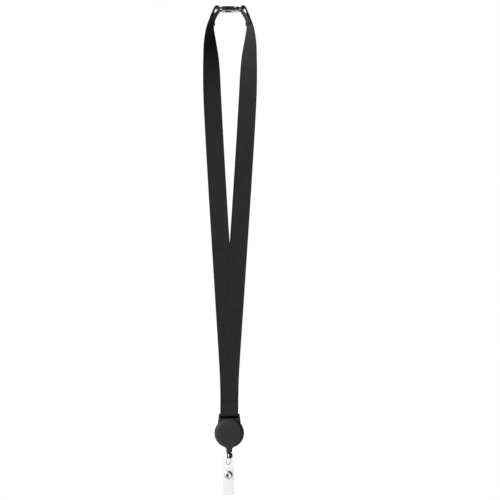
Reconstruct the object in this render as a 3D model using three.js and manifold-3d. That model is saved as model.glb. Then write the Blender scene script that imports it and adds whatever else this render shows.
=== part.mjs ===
// Lanyard badge holder: a twisted neck ribbon with a breakaway buckle, a spring reel with
// a pull-out cord, and a snap strap for the badge.
// Millimetres. +Z is up, +X is the viewer's right and -Y is the front. The origin is the
// middle of the buckle's underside, which rests on the back of the wearer's neck.
import * as THREE from 'three';
import { mergeVertices } from 'three/addons/utils/BufferGeometryUtils.js';
import { RoundedBoxGeometry } from 'three/addons/geometries/RoundedBoxGeometry.js';
import Module from 'manifold-3d';

const wasm = await Module();
wasm.setup();

// ---- Driving dimensions ----
const GAP = 0.3; // clearance between pieces that lie against each other

// Ribbon. The stations are [height, half the distance between the two legs].
const RIBBON_WIDTH = 20;
const RIBBON_THICK = 1;
const LEG_STATIONS = [
  [-5, 18.9], [-14.3, 20.9], [-24, 22.1], [-35, 22.2], [-53.3, 21.1], [-98.3, 19.5],
  [-188, 14.4], [-318, 6.1], [-400, 0.9], [-425, 0.1], [-445, 0],
];
const LEG_STEPS = 44;
const LEG_CROWDING = 1.25; // above 1, the steps crowd together near the buckle
const FOLD_TWIST = THREE.MathUtils.degToRad(11); // already turned this far at the folds
const FOLD_TWIST_Z = [3, -9]; // and that turn builds up between these heights
const TWIST_LENGTH = 62; // the rest of the quarter turn dies away over this height
const LEG_DEPTH = 0.85; // each leg's distance from the middle plane where they overlap
const SEAM_DEPTH = (RIBBON_THICK + GAP) / 2; // the same where two plies are sewn
const FOLD_END_Z = -14.9; // where the ply folded round a buckle bar meets its leg
const TAIL_END_Z = -14.1; // free end of the same ribbon, on the inner side
const UNDER_FOLD_Z = -30; // below this a leg is back on its own line
const FOLD_STEPS = 66;
// The middle of the ribbon as it goes loosely round a buckle bar, as [x, z] from the outer
// ply over the top and down to the inner ply.
const FOLD_ROUTE = [
  [19.6, -5], [19, -2.7], [18.6, -0.4], [18, 1.7], [16.9, 3.9], [14.7, 5.3],
  [12.6, 4.6], [11.8, 2.7], [12.2, 0.8], [13.5, -0.9], [15.3, -2.9], [17, -5],
];
const TAIL_TACK_Z = -12.6;
const SEAM_Z = -434.5; // where the legs meet the loop through the reel
const REEL_TACK_Z = -432.4;
const LOOP_STEPS = 40;
const TACK_LENGTH = 14;
const TACK_HEIGHT = 0.5;
const TACK_PROUD = 0.35;

// Buckle
const BUCKLE_WIDTH = 25;
const BUCKLE_HEIGHT = 4.4;
const SOCKET_X = [-9.05, 5];
const SHOULDER_X = [5.6, 10.2];
const BAR_X = 14.2;
const BAR_Z = 2.2;
const BAR_RADIUS = 1.2;
const ARM_WIDTH = 1.9;
const ARM_Z = [1.2, 3.4];
const CAVITY_X = [-7.2, 6];
const CAVITY_Z = [1.1, 3.3];
const CAVITY_HALF = 10.5;
const PRONG_ROOT_X = 6.5; // where the prongs and the tongue leave the plug's shoulder

// Reel
const REEL_Z = -467.8;
const REEL_RADIUS = 16.3;
const REEL_FRONT = -5.5;
const REEL_BACK = 5;
const SHELL = 1.2;
const CASE_SIDES = 44;
const LIP_INNER = 14.2;
const LIP_OUTER = 14.8;
const POST_RADIUS = 1.6;
const DRUM = [8.2, 9];
const FLANGE_RADIUS = 13.6;
const CORD_RADIUS = 0.4;
const WINDING = [9.3, 11.8];
const BRACKET_TOP = 21.4; // heights from the reel's axis
const BRACKET_BAR = 19.8;
const BRACKET_THICK = 2.4;
const SLOT_HALF = 10.4;
const BACK_WALL_Y = [2.8, 4.2]; // closes the slot behind the ribbon
const BACK_WALL_TOP = 20.4;
const SNOUT_END = -21.5;
const SNOUT_HALF = 3.3;
const FLARE_HALF = 6.4;
const FLARE_Z = [-18.4, -14.6];
const FERRULE_TOP = -18.9;
const FERRULE_RADIUS = 1.6;

// Hook, ring and badge strap
const HOOK_Z = -489.6;
const HOOK_TURN = THREE.MathUtils.degToRad(-45);
const HOOK_HALF = 1; // half the claw's thickness
const CLAW_LEFT = -3.6;
const CLAW_RIGHT = 4.6;
const STEM_RADIUS = 0.75;
const GATE_PIVOT = [-3.15, -2.45];
const GATE_TIP = [-2.6, -4.9];
const GATE_RADIUS = 0.4;
const GATE_HALF = 0.7;
const RING_OFFSET = -1; // the ring hangs nearer the gate than the swivel's axis
const RING_TURN = THREE.MathUtils.degToRad(105); // from the claw's plane to the ring's
const RING_RADIUS = 4.5;
const WIRE_RADIUS = 0.5;
const RING_Z = -498.7;
const STRAP_WIDTH = 12.7;
const STRAP_THICK = 0.6;
const STRAP_TOP = -497.2;
const FLAP_TOP = -504.9;
const STRAP_BOTTOM = -537;
const TOP_CORNER = 2;
const FLAP_CORNER = 1.2;
const HOLE_RADIUS = 2.3;
const HOLE_Z = -504.6;
const SNAP_Z = -514.3;
const SNAP_DEPTH = 1.2; // each layer's distance from the middle plane at the snap
const BULGE_DEPTH = 2.9; // the same in the loop that takes the badge
const RIVET_HOLE = 1.6;
const RIVET_RADIUS = 1.2;
const SNAP_GAP = 0.2;

// ---- Materials ----
const ribbonCloth = () => finish(0x2e2e2e, 0.9, 0);
const threadBlack = () => finish(0x1a1a1a, 0.8, 0);
const buckleBlack = () => finish(0x3a3a3a, 0.35, 0);
const caseBlack = () => finish(0x363636, 0.5, 0);
const nylonWhite = () => finish(0xd8d4ca, 0.5, 0);
const springSteel = () => finish(0x8f949b, 0.3, 1);
const cordBlack = () => finish(0x1c1c1c, 0.85, 0);
const hookBlack = () => finish(0x1b1b1b, 0.3, 0);
const nickel = () => finish(0xb9bcc0, 0.22, 1);
const vinyl = () => finish(0xf1f2f4, 0.15, 0);

function finish(color, roughness, metalness) {
  return new THREE.MeshStandardMaterial({ color, roughness, metalness });
}

function part(name, geometry, material) {
  const mesh = new THREE.Mesh(geometry, material);
  mesh.name = name;
  return mesh;
}

// ---- Solid helpers ----
function toSolid(geometry) {
  const bare = geometry.clone();
  bare.deleteAttribute('normal');
  bare.deleteAttribute('uv');
  const merged = mergeVertices(bare, 1e-4);
  const vertProperties = new Float32Array(merged.attributes.position.array);
  const triVerts = new Uint32Array(merged.index.array);
  return new wasm.Manifold(new wasm.Mesh({ numProp: 3, vertProperties, triVerts }));
}

function toGeometry(solid) {
  const mesh = solid.getMesh();
  const geometry = new THREE.BufferGeometry();
  geometry.setAttribute('position', new THREE.BufferAttribute(mesh.vertProperties, 3));
  geometry.setIndex(new THREE.BufferAttribute(mesh.triVerts, 1));
  return geometry;
}

function joined(...geometries) {
  const solids = geometries.map(toSolid);
  return toGeometry(solids.reduce((all, solid) => all.add(solid)));
}

function cut(geometry, ...tools) {
  return toGeometry(tools.map(toSolid).reduce((left, tool) => left.subtract(tool), toSolid(geometry)));
}

function block(x, y, z) {
  const geometry = new THREE.BoxGeometry(x[1] - x[0], y[1] - y[0], z[1] - z[0]);
  return geometry.translate((x[0] + x[1]) / 2, (y[0] + y[1]) / 2, (z[0] + z[1]) / 2);
}

function roundedBlock(x, y, z, radius) {
  const geometry = new RoundedBoxGeometry(x[1] - x[0], y[1] - y[0], z[1] - z[0], 2, radius);
  return geometry.translate((x[0] + x[1]) / 2, (y[0] + y[1]) / 2, (z[0] + z[1]) / 2);
}

// A solid turned about the Y axis from [radius, y] points. The points run so that the
// material is on their left, from axis to axis or back to the first one.
function turnedY(points, segments) {
  const profile = points.map(([radius, y]) => new THREE.Vector2(radius, y));
  return new THREE.LatheGeometry(profile, segments);
}

function rodY(radius, y, segments) {
  return turnedY([[0, y[0]], [radius, y[0]], [radius, y[1]], [0, y[1]]], segments);
}

// The same about the Z axis, from [radius, z] points.
function turnedZ(points, segments) {
  return turnedY(points, segments).rotateX(Math.PI / 2);
}

function rodZ(radius, z, segments) {
  return turnedZ([[0, z[0]], [radius, z[0]], [radius, z[1]], [0, z[1]]], segments);
}

// A flat outline in X and Z, given a thickness along Y with its edges rounded over.
function plateXZ(shape, y, rounding) {
  const depth = y[1] - y[0] - 2 * rounding;
  const options = {
    depth,
    curveSegments: 8,
    bevelEnabled: rounding > 0,
    bevelThickness: rounding,
    bevelSize: rounding,
    bevelOffset: -rounding,
    bevelSegments: 2,
  };
  const geometry = new THREE.ExtrudeGeometry(shape, options);
  return geometry.rotateX(Math.PI / 2).translate(0, y[1] - rounding, 0);
}

function smooth(from, to, value) {
  const t = THREE.MathUtils.clamp((value - from) / (to - from), 0, 1);
  return t * t * (3 - 2 * t);
}

// ---- Ribbon ----
// Half the distance between the legs at height z: a smooth curve through the stations.
function legSpread(z) {
  const last = LEG_STATIONS.length - 1;
  const height = THREE.MathUtils.clamp(z, LEG_STATIONS[last][0], LEG_STATIONS[0][0]);
  let i = 0;
  while (i < last - 1 && height < LEG_STATIONS[i + 1][0]) {
    i += 1;
  }
  const slope = (k) => {
    const [zA, xA] = LEG_STATIONS[Math.max(k - 1, 0)];
    const [zB, xB] = LEG_STATIONS[Math.min(k + 1, last)];
    return (xB - xA) / (zB - zA);
  };
  const [z0, x0] = LEG_STATIONS[i];
  const [z1, x1] = LEG_STATIONS[i + 1];
  const h = z1 - z0;
  const t = (height - z0) / h;
  const start = (1 + 2 * t) * (1 - t) ** 2 * x0 + t * (1 - t) ** 2 * h * slope(i);
  const end = t * t * (3 - 2 * t) * x1 + t * t * (t - 1) * h * slope(i + 1);
  return start + end;
}

// How far each leg stands off the middle plane: the right leg crosses in front.
function legDepth(z) {
  const crossing = LEG_DEPTH * smooth(-110, -225, z);
  return crossing - (LEG_DEPTH - SEAM_DEPTH) * smooth(-380, -428, z);
}

function twist(z) {
  const atFold = FOLD_TWIST * smooth(...FOLD_TWIST_Z, z);
  const below = Math.max(FOLD_TWIST_Z[1] - z, 0);
  return atFold + (Math.PI / 2 - FOLD_TWIST) * Math.tanh(below / TWIST_LENGTH);
}

function legPoint(z, side) {
  return new THREE.Vector3(side * legSpread(z), -side * legDepth(z), z);
}

// A ribbon frame: its centre, the direction to its near edge, and its running direction.
// The near edge turns to the outer side of the leg as the twist grows.
function ribbonFrame(centre, tangent, side) {
  const outward = new THREE.Vector3(-tangent.z, 0, tangent.x);
  outward.multiplyScalar(side * Math.sign(outward.x || 1));
  const angle = twist(centre.z);
  const across = new THREE.Vector3(0, -Math.cos(angle), 0);
  across.addScaledVector(outward, Math.sin(angle));
  across.addScaledVector(tangent, -across.dot(tangent)).normalize();
  return { centre, across, tangent };
}

function legFrame(z, side) {
  const tangent = legPoint(z - 0.5, side).sub(legPoint(z + 0.5, side)).normalize();
  return ribbonFrame(legPoint(z, side), tangent, side);
}

function frameNormal(frame) {
  return new THREE.Vector3().crossVectors(frame.tangent, frame.across);
}

// Frames along a smooth curve through the points, for a strip whose width lies along X.
function levelFrames(points) {
  const curve = new THREE.CatmullRomCurve3(points, false, 'centripetal');
  const across = new THREE.Vector3(1, 0, 0);
  const frames = [];
  for (let i = 0; i <= LOOP_STEPS; i += 1) {
    const along = i / LOOP_STEPS;
    frames.push({ centre: curve.getPointAt(along), across, tangent: curve.getTangentAt(along) });
  }
  return frames;
}

// A flat strip swept along a list of frames.
function strip(frames, width, thickness) {
  const steps = frames.length - 1;
  const box = new THREE.BoxGeometry(1, 1, 1, 1, 1, steps);
  const place = box.attributes.position;
  for (let i = 0; i < place.count; i += 1) {
    const frame = frames[Math.round((place.getZ(i) + 0.5) * steps)];
    const point = frame.centre.clone();
    point.addScaledVector(frame.across, place.getX(i) * width);
    point.addScaledVector(frameNormal(frame), place.getY(i) * thickness);
    place.setXYZ(i, point.x, point.y, point.z);
  }
  return box;
}

// A box lying in a frame: its length across the ribbon, its depth through the plies.
function frameBox(frame, length, depth, height) {
  const turn = new THREE.Matrix4();
  turn.makeBasis(frame.across, frameNormal(frame), frame.tangent);
  turn.setPosition(frame.centre);
  return new THREE.BoxGeometry(length, depth, height).applyMatrix4(turn);
}

// A row of sewing through two plies.
function tack(frame) {
  const depth = 2 * RIBBON_THICK + GAP + 2 * TACK_PROUD;
  return frameBox(frame, TACK_LENGTH, depth, TACK_HEIGHT);
}

// The slot that it passes through.
function tackSlot(frame) {
  const depth = 2 * (2 * RIBBON_THICK + GAP);
  return frameBox(frame, TACK_LENGTH + 2 * GAP, depth, TACK_HEIGHT + 2 * GAP);
}

function seamFrame() {
  const tangent = new THREE.Vector3(0, 0, -1);
  const across = new THREE.Vector3(1, 0, 0);
  return { centre: new THREE.Vector3(0, 0, REEL_TACK_Z), across, tangent };
}

// One leg, from under the buckle's fold to the seam above the reel.
function leg(side) {
  const top = FOLD_END_Z - GAP;
  const frames = [];
  for (let i = 0; i <= LEG_STEPS; i += 1) {
    const along = (i / LEG_STEPS) ** LEG_CROWDING;
    const frame = legFrame(top + (SEAM_Z - top) * along, side);
    outerPly(frame, side, smooth(UNDER_FOLD_Z, top, frame.centre.z));
    frames.push(frame);
  }
  return cut(strip(frames, RIBBON_WIDTH, RIBBON_THICK), tackSlot(seamFrame()));
}

// Moves a frame onto the outer one of two plies, wholly (1) or in part.
function outerPly(frame, side, share) {
  const normal = frameNormal(frame);
  const outward = Math.sign(normal.x * side) || 1;
  frame.centre.addScaledVector(normal, outward * SEAM_DEPTH * share);
}

// The ribbon folded round a buckle bar: up the outer ply, round the bar, down the tail.
function endLoop(side) {
  const ply = (z, share) => {
    const frame = legFrame(z, side);
    outerPly(frame, side, share);
    return frame.centre;
  };
  const points = [FOLD_END_Z, -12, -9].map((z) => ply(z, 1));
  points.push(...FOLD_ROUTE.map(([x, z]) => new THREE.Vector3(side * x, 0, z)));
  points.push(...[-8.6, -11, TAIL_END_Z].map((z) => ply(z, -1)));
  const curve = new THREE.CatmullRomCurve3(points, false, 'centripetal');
  const frames = [];
  for (let i = 0; i <= FOLD_STEPS; i += 1) {
    const along = i / FOLD_STEPS;
    frames.push(ribbonFrame(curve.getPointAt(along), curve.getTangentAt(along), side));
  }
  return cut(strip(frames, RIBBON_WIDTH, RIBBON_THICK), tackSlot(legFrame(TAIL_TACK_Z, side)));
}

// The loop through the reel's bracket: down in front, under the bar and up behind it.
function reelLoop() {
  const barBottom = REEL_Z + BRACKET_BAR;
  const barTop = REEL_Z + BRACKET_TOP;
  const run = BRACKET_THICK / 2 + GAP + RIBBON_THICK / 2;
  const under = barBottom - GAP - RIBBON_THICK / 2;
  const half = [
    [SEAM_DEPTH, SEAM_Z - GAP], [SEAM_DEPTH + 0.15, SEAM_Z - 4], [run, barTop + 0.6],
    [run, barBottom + 0.2], [run - 0.75, under + 0.2],
  ];
  const point = ([y, z], front) => new THREE.Vector3(0, front ? -y : y, z);
  const points = half.map((p) => point(p, true));
  points.push(new THREE.Vector3(0, 0, under));
  points.push(...half.reverse().map((p) => point(p, false)));
  return strip(levelFrames(points), RIBBON_WIDTH, RIBBON_THICK);
}

function ribbonGroup() {
  const group = new THREE.Group();
  group.add(part('left_strap', leg(-1), ribbonCloth()));
  group.add(part('right_strap', leg(1), ribbonCloth()));
  group.add(part('left_buckle_loop', endLoop(-1), ribbonCloth()));
  group.add(part('right_buckle_loop', endLoop(1), ribbonCloth()));
  group.add(part('reel_strap_loop', reelLoop(), ribbonCloth()));
  group.add(part('left_stitching', tack(legFrame(TAIL_TACK_Z, -1)), threadBlack()));
  group.add(part('right_stitching', tack(legFrame(TAIL_TACK_Z, 1)), threadBlack()));
  group.add(part('reel_stitching', tack(seamFrame()), threadBlack()));
  return group;
}

// ---- Buckle ----
// The two side arms and the bar that one end of the ribbon folds round.
function barFrame(side, from) {
  const tip = BAR_X + BAR_RADIUS;
  const half = BUCKLE_WIDTH / 2;
  const x = side > 0 ? [from, tip] : [-tip, from];
  const arm = (y) => roundedBlock(x, y, ARM_Z, 0.5);
  const barEnd = half - ARM_WIDTH / 3;
  const bar = rodY(BAR_RADIUS, [-barEnd, barEnd], 14).translate(side * BAR_X, 0, BAR_Z);
  return [arm([-half, -half + ARM_WIDTH]), arm([half - ARM_WIDTH, half]), bar];
}

// The female half: a flat shell open towards the plug, with a window in its underside and
// one in each edge for the prongs.
function buckleSocket() {
  const half = BUCKLE_WIDTH / 2;
  const rounding = 0.8;
  const shell = roundedBlock(SOCKET_X, [-half, half], [0, BUCKLE_HEIGHT], rounding);
  const cavity = block(CAVITY_X, [-CAVITY_HALF, CAVITY_HALF], CAVITY_Z);
  const lowerWindow = block([-6.05, 1.4], [-5, 5], [-1, 2]);
  const sideWindows = block([-4, 1.5], [-half - 1, half + 1], [1.4, 3]);
  const frame = barFrame(-1, SOCKET_X[0] + rounding);
  return cut(joined(shell, ...frame), cavity, lowerWindow, sideWindows);
}

// The male half: a shoulder with two barbed prongs and a guiding tongue between them.
function bucklePlug() {
  const z = [CAVITY_Z[0] + GAP, CAVITY_Z[1] - GAP];
  const rounding = 0.7;
  const pieces = [roundedBlock(SHOULDER_X, [-12.2, 12.2], [0.2, 4], rounding)];
  pieces.push(...barFrame(1, SHOULDER_X[1] - rounding));
  pieces.push(block([-5.6, PRONG_ROOT_X], [-2.2, 2.2], z));
  for (const side of [-1, 1]) {
    const prong = [
      [-4.6, 7.6], [-2.2, 10.2], [-1.9, 9.4], [PRONG_ROOT_X, 9.4], [PRONG_ROOT_X, 7.4],
      [-4.6, 7.4],
    ];
    const shape = new THREE.Shape(prong.map(([x, y]) => new THREE.Vector2(x, side * y)));
    const options = { depth: z[1] - z[0], bevelEnabled: false };
    pieces.push(new THREE.ExtrudeGeometry(shape, options).translate(0, 0, z[0]));
  }
  return joined(...pieces);
}

function buckleGroup() {
  const group = new THREE.Group();
  group.add(part('buckle_socket', buckleSocket(), buckleBlack()));
  group.add(part('buckle_plug', bucklePlug(), buckleBlack()));
  return group;
}

// ---- Reel (heights from its own axis) ----
// The snout that the cord leaves by: a rounded column with a flare where it meets the case.
function snoutBlank() {
  const [flareEnd, flareTop] = FLARE_Z;
  const waist = SNOUT_HALF - 0.1;
  const flare = new THREE.Shape();
  flare.moveTo(-FLARE_HALF, flareTop);
  flare.bezierCurveTo(-4.2, flareTop - 1.2, -waist, flareEnd + 1.8, -waist, flareEnd);
  flare.lineTo(waist, flareEnd);
  flare.bezierCurveTo(waist, flareEnd + 1.8, 4.2, flareTop - 1.2, FLARE_HALF, flareTop);
  const web = plateXZ(flare, [-3.2, 2.9], 0);
  const column = roundedBlock([-SNOUT_HALF, SNOUT_HALF], [-4.3, 4], [SNOUT_END, -13], 1.5);
  return joined(column, web);
}

// The hole for the cord and the wider seat for the sleeve on its end.
function snoutBores() {
  const below = SNOUT_END - 1;
  return [rodZ(1, [below, -12], 16), rodZ(2, [below, FERRULE_TOP + GAP], 20)];
}

// Everything from one depth to another, wider and taller than the reel.
function slab(y) {
  return block([-30, 30], y, [-40, 40]);
}

// The front shell: a shallow dished bowl with the front half of the snout.
function frontCover() {
  const inner = REEL_RADIUS - SHELL;
  const bowl = turnedY([
    [0, REEL_FRONT], [12.3, REEL_FRONT], [13.6, -5.25], [14.9, -4.6], [15.8, -3.6],
    [REEL_RADIUS, -2.4], [REEL_RADIUS, -GAP / 2], [inner, -GAP / 2], [inner, -2.2],
    [13.9, -3.7], [12, -4.3], [0, -4.3],
  ], CASE_SIDES);
  const snout = cut(snoutBlank(), slab([-GAP / 2, 20]), rodY(inner, [-6, 6], CASE_SIDES));
  return cut(joined(bowl, snout), ...snoutBores());
}

// The flat frame above the case, with the slot that the ribbon hangs it by.
function bracketPlate() {
  const half = BRACKET_THICK / 2;
  const shape = new THREE.Shape();
  shape.moveTo(-13.2, 6);
  shape.lineTo(-12.85, 10);
  shape.lineTo(-11.5, BRACKET_TOP - 0.6);
  shape.quadraticCurveTo(-11.35, BRACKET_TOP, -10.8, BRACKET_TOP);
  shape.lineTo(10.8, BRACKET_TOP);
  shape.quadraticCurveTo(11.35, BRACKET_TOP, 11.5, BRACKET_TOP - 0.6);
  shape.lineTo(12.85, 10);
  shape.lineTo(13.2, 6);
  shape.closePath();
  const slot = block([-SLOT_HALF, SLOT_HALF], [-5, 5], [REEL_RADIUS + 0.1, BRACKET_BAR]);
  const interior = rodY(REEL_RADIUS - 0.6, [-5, 5], CASE_SIDES);
  const coverRoom = rodY(REEL_RADIUS + GAP, [-5, GAP / 2], CASE_SIDES);
  return cut(plateXZ(shape, [-half, half], 0.35), slot, interior, coverRoom);
}

// Two webs beside the slot that carry the wall behind it.
function webs() {
  const outer = SLOT_HALF + 0.6;
  const web = (side) => {
    const x = [side * SLOT_HALF, side * outer].sort((a, b) => a - b);
    return block(x, [0.5, BACK_WALL_Y[1] - 0.5], [12.5, BACK_WALL_TOP - 0.5]);
  };
  return joined(web(-1), web(1));
}

// The thin wall that closes the slot from behind, with room for the ribbon in front of it.
function backWall() {
  const half = SLOT_HALF + 0.6;
  return roundedBlock([-half, half], BACK_WALL_Y, [12, BACK_WALL_TOP], 0.5);
}

// The rear shell: a tray with a locating lip, the spool's post, the bracket and the back
// half of the snout.
function rearHousing() {
  const tray = turnedY([
    [0, -3.7], [POST_RADIUS, -3.7], [POST_RADIUS, REEL_BACK - SHELL],
    [LIP_INNER, REEL_BACK - SHELL], [LIP_INNER, -1.4], [LIP_OUTER, -1.4],
    [LIP_OUTER, GAP / 2], [REEL_RADIUS, GAP / 2], [REEL_RADIUS, 3],
    [15.6, 4.1], [14.4, 4.8], [13.2, REEL_BACK], [0, REEL_BACK],
  ], CASE_SIDES);
  const snout = cut(snoutBlank(), slab([-20, GAP / 2]), rodY(LIP_INNER, [-6, 6], CASE_SIDES));
  const wall = cut(backWall(), rodY(REEL_RADIUS - SHELL, [-6, 6], CASE_SIDES));
  return cut(joined(tray, bracketPlate(), wall, webs(), snout), ...snoutBores());
}

// A drum with two flanges. It holds the cord outside and the spring inside.
function spool() {
  return turnedY([
    [POST_RADIUS + GAP, 2.6], [DRUM[0], 2.6], [DRUM[0], -2.6], [FLANGE_RADIUS, -2.6],
    [FLANGE_RADIUS, -1.9], [DRUM[1], -1.9], [DRUM[1], 2.7], [FLANGE_RADIUS, 2.7],
    [FLANGE_RADIUS, 3.4], [POST_RADIUS + GAP, 3.4], [POST_RADIUS + GAP, 2.6],
  ], 30);
}

// The disc that keeps the spring in the drum.
function spoolLid() {
  const bore = POST_RADIUS + GAP;
  const rim = DRUM[1] - 0.2;
  return turnedY([[bore, -3.5], [rim, -3.5], [rim, -2.9], [bore, -2.9], [bore, -3.5]], 30);
}

function spiralSpring() {
  const turns = 5.25;
  const steps = 84;
  const innerRadius = 2.4;
  const outerRadius = 7.6;
  const place = (t) => {
    const angle = 2 * Math.PI * turns * t;
    const radius = innerRadius + (outerRadius - innerRadius) * t;
    return new THREE.Vector3(radius * Math.cos(angle), 0, radius * Math.sin(angle));
  };
  const frames = [];
  for (let i = 0; i <= steps; i += 1) {
    const t = i / steps;
    const tangent = place(t + 0.001).sub(place(t - 0.001)).normalize();
    frames.push({ centre: place(t), across: new THREE.Vector3(0, 1, 0), tangent });
  }
  return strip(frames, 4.2, 0.35);
}

// The cord's turns on the drum, as one ring.
function woundCord() {
  const [inner, outer] = WINDING;
  return turnedY([
    [inner, -1.6], [outer - 0.4, -1.6], [outer, -1.2], [outer, 2], [outer - 0.4, 2.4],
    [inner, 2.4], [inner, -1.6],
  ], 30);
}

function cordTube(points, steps) {
  const outline = new THREE.Shape();
  outline.absarc(0, 0, CORD_RADIUS, 0, 2 * Math.PI);
  const extrudePath = new THREE.CatmullRomCurve3(points);
  return new THREE.ExtrudeGeometry(outline, { steps, curveSegments: 4, extrudePath });
}

// The cord inside the case: round the winding on the right, then down to the snout.
function cordLead() {
  const radius = WINDING[1] + GAP + CORD_RADIUS;
  const points = [];
  for (let degrees = 0; degrees <= 60; degrees += 20) {
    const angle = THREE.MathUtils.degToRad(-degrees);
    points.push(new THREE.Vector3(radius * Math.cos(angle), 0.4, radius * Math.sin(angle)));
  }
  points.push(new THREE.Vector3(2.2, 0.2, -12.8));
  points.push(new THREE.Vector3(0.4, 0, -13.7));
  points.push(new THREE.Vector3(0, 0, -15.4));
  return cordTube(points, 18);
}

// The stub of the cord that leaves the case.
function pullCord() {
  const top = -15.7;
  return rodZ(CORD_RADIUS, [FERRULE_TOP + GAP, top], 10);
}

// The metal sleeve crimped on the cord's end, in which the hook's stem turns.
function ferrule() {
  const bottom = SNOUT_END + 0.2;
  const bore = STEM_RADIUS + GAP;
  const roof = FERRULE_TOP - 0.7;
  return turnedZ([
    [0, roof], [bore, roof], [bore, bottom], [FERRULE_RADIUS, bottom],
    [FERRULE_RADIUS, FERRULE_TOP - 0.3], [FERRULE_RADIUS - 0.3, FERRULE_TOP], [0, FERRULE_TOP],
  ], 20);
}

function reelGroup() {
  const group = new THREE.Group();
  group.position.z = REEL_Z;
  group.add(part('front_cover', frontCover(), caseBlack()));
  group.add(part('rear_housing', rearHousing(), caseBlack()));
  group.add(part('cord_spool', spool(), nylonWhite()));
  group.add(part('spool_lid', spoolLid(), nylonWhite()));
  group.add(part('spiral_spring', spiralSpring(), springSteel()));
  group.add(part('wound_cord', woundCord(), cordBlack()));
  group.add(part('cord_lead', cordLead(), cordBlack()));
  group.add(part('pull_cord', pullCord(), cordBlack()));
  group.add(part('cord_ferrule', ferrule(), nickel()));
  return group;
}

// ---- Hook (heights from the snout's end) and ring ----
// The claw, open at its lower left: a shoulder, a thick right side and a thin lower lip.
function clawOutline() {
  const claw = new THREE.Shape();
  claw.moveTo(CLAW_LEFT, -0.4);
  claw.lineTo(2.4, -0.4);
  claw.bezierCurveTo(3.8, -0.4, CLAW_RIGHT, -1.3, CLAW_RIGHT, -2.8);
  claw.bezierCurveTo(CLAW_RIGHT, -5.4, 3.1, -6.5, 0.6, -6.5);
  claw.lineTo(-1.7, -6.5);
  claw.lineTo(-1.7, -5.5);
  claw.lineTo(-0.9, -5.5);
  claw.bezierCurveTo(0.1, -5.5, 0.7, -4.8, 0.7, -3.6);
  claw.bezierCurveTo(0.7, -2.5, 0.1, -1.7, -0.9, -1.7);
  claw.lineTo(CLAW_LEFT, -1.7);
  claw.closePath();
  return claw;
}

function hookBody() {
  const collar = turnedZ([
    [0, -1.4], [2.3, -1.4], [2.6, -1.1], [2.6, -0.4], [2.2, 0], [0, 0],
  ], 24);
  const stem = rodZ(STEM_RADIUS, [-0.6, 1.6], 16);
  return joined(collar, plateXZ(clawOutline(), [-HOOK_HALF, HOOK_HALF], 0.4), stem);
}

// The springy tongue that closes the hook, hinged at its rounded top.
function hookGate() {
  const [topX, topZ] = GATE_PIVOT;
  const [tipX, tipZ] = GATE_TIP;
  const lean = Math.atan2(topZ - tipZ, tipX - topX);
  const shape = new THREE.Shape();
  shape.absarc(topX, topZ, GATE_RADIUS, Math.PI / 2 - lean, (3 * Math.PI) / 2 - lean, false);
  shape.absarc(tipX, tipZ, GATE_RADIUS, (3 * Math.PI) / 2 - lean, (5 * Math.PI) / 2 - lean, false);
  return plateXZ(shape, [-GATE_HALF, GATE_HALF], 0.2);
}

function wireRing() {
  return new THREE.TorusGeometry(RING_RADIUS, WIRE_RADIUS, 8, 30).rotateX(Math.PI / 2);
}

function hookGroup() {
  const group = new THREE.Group();
  group.position.z = HOOK_Z;
  group.rotation.z = HOOK_TURN;
  group.add(part('snap_hook', hookBody(), hookBlack()));
  group.add(part('hook_gate', hookGate(), hookBlack()));
  const ring = part('wire_ring', wireRing(), nickel());
  ring.position.set(RING_OFFSET, 0, RING_Z - HOOK_Z);
  ring.rotation.z = RING_TURN;
  group.add(ring);
  return group;
}

// ---- Badge strap ----
// Half of the folded vinyl strip, from its free end down to the bottom fold. side is 1 for
// the back layer and -1 for the front one.
function strapHalf(side, top, topDepth) {
  const foldZ = STRAP_BOTTOM + STRAP_THICK / 2 + BULGE_DEPTH;
  const run = [
    [topDepth, top], [topDepth, top - 3], [SNAP_DEPTH, SNAP_Z + 5.4],
    [SNAP_DEPTH, SNAP_Z + 2.5], [SNAP_DEPTH, SNAP_Z - 2.5], [SNAP_DEPTH, SNAP_Z - 5.2],
    [BULGE_DEPTH - 0.2, SNAP_Z - 8.5], [BULGE_DEPTH, foldZ + 4], [BULGE_DEPTH, foldZ],
  ];
  const points = run.map(([y, z]) => new THREE.Vector3(0, side * y, z));
  for (let degrees = 22.5; degrees < 85; degrees += 22.5) {
    const angle = THREE.MathUtils.degToRad(degrees);
    const y = side * BULGE_DEPTH * Math.cos(angle);
    points.push(new THREE.Vector3(0, y, foldZ - BULGE_DEPTH * Math.sin(angle)));
  }
  points.push(new THREE.Vector3(0, side * GAP / 2, foldZ - BULGE_DEPTH));
  return strip(levelFrames(points), STRAP_WIDTH, STRAP_THICK);
}

function rivetHole() {
  return rodY(RIVET_HOLE, [-10, 10], 20).translate(0, 0, SNAP_Z);
}

// What rounds the two corners of a strip's free end.
function cornerCutters(top, radius) {
  const half = STRAP_WIDTH / 2;
  return [-1, 1].map((side) => {
    const outside = side * (half + 1);
    const corner = new THREE.Shape();
    corner.moveTo(outside, top + 1);
    corner.lineTo(side * (half - radius), top + 1);
    corner.lineTo(side * (half - radius), top);
    corner.quadraticCurveTo(side * half, top, side * half, top - radius);
    corner.lineTo(outside, top - radius);
    return plateXZ(corner, [-8, 8], 0);
  });
}

function strapBack() {
  const hole = rodY(HOLE_RADIUS, [-3, 3], 24).translate(0, 0, HOLE_Z);
  const corners = cornerCutters(STRAP_TOP, TOP_CORNER);
  return cut(strapHalf(1, STRAP_TOP, 0), hole, rivetHole(), ...corners);
}

function strapFlap() {
  const corners = cornerCutters(FLAP_TOP, FLAP_CORNER);
  return cut(strapHalf(-1, FLAP_TOP, SNAP_DEPTH + 0.3), rivetHole(), ...corners);
}

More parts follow.
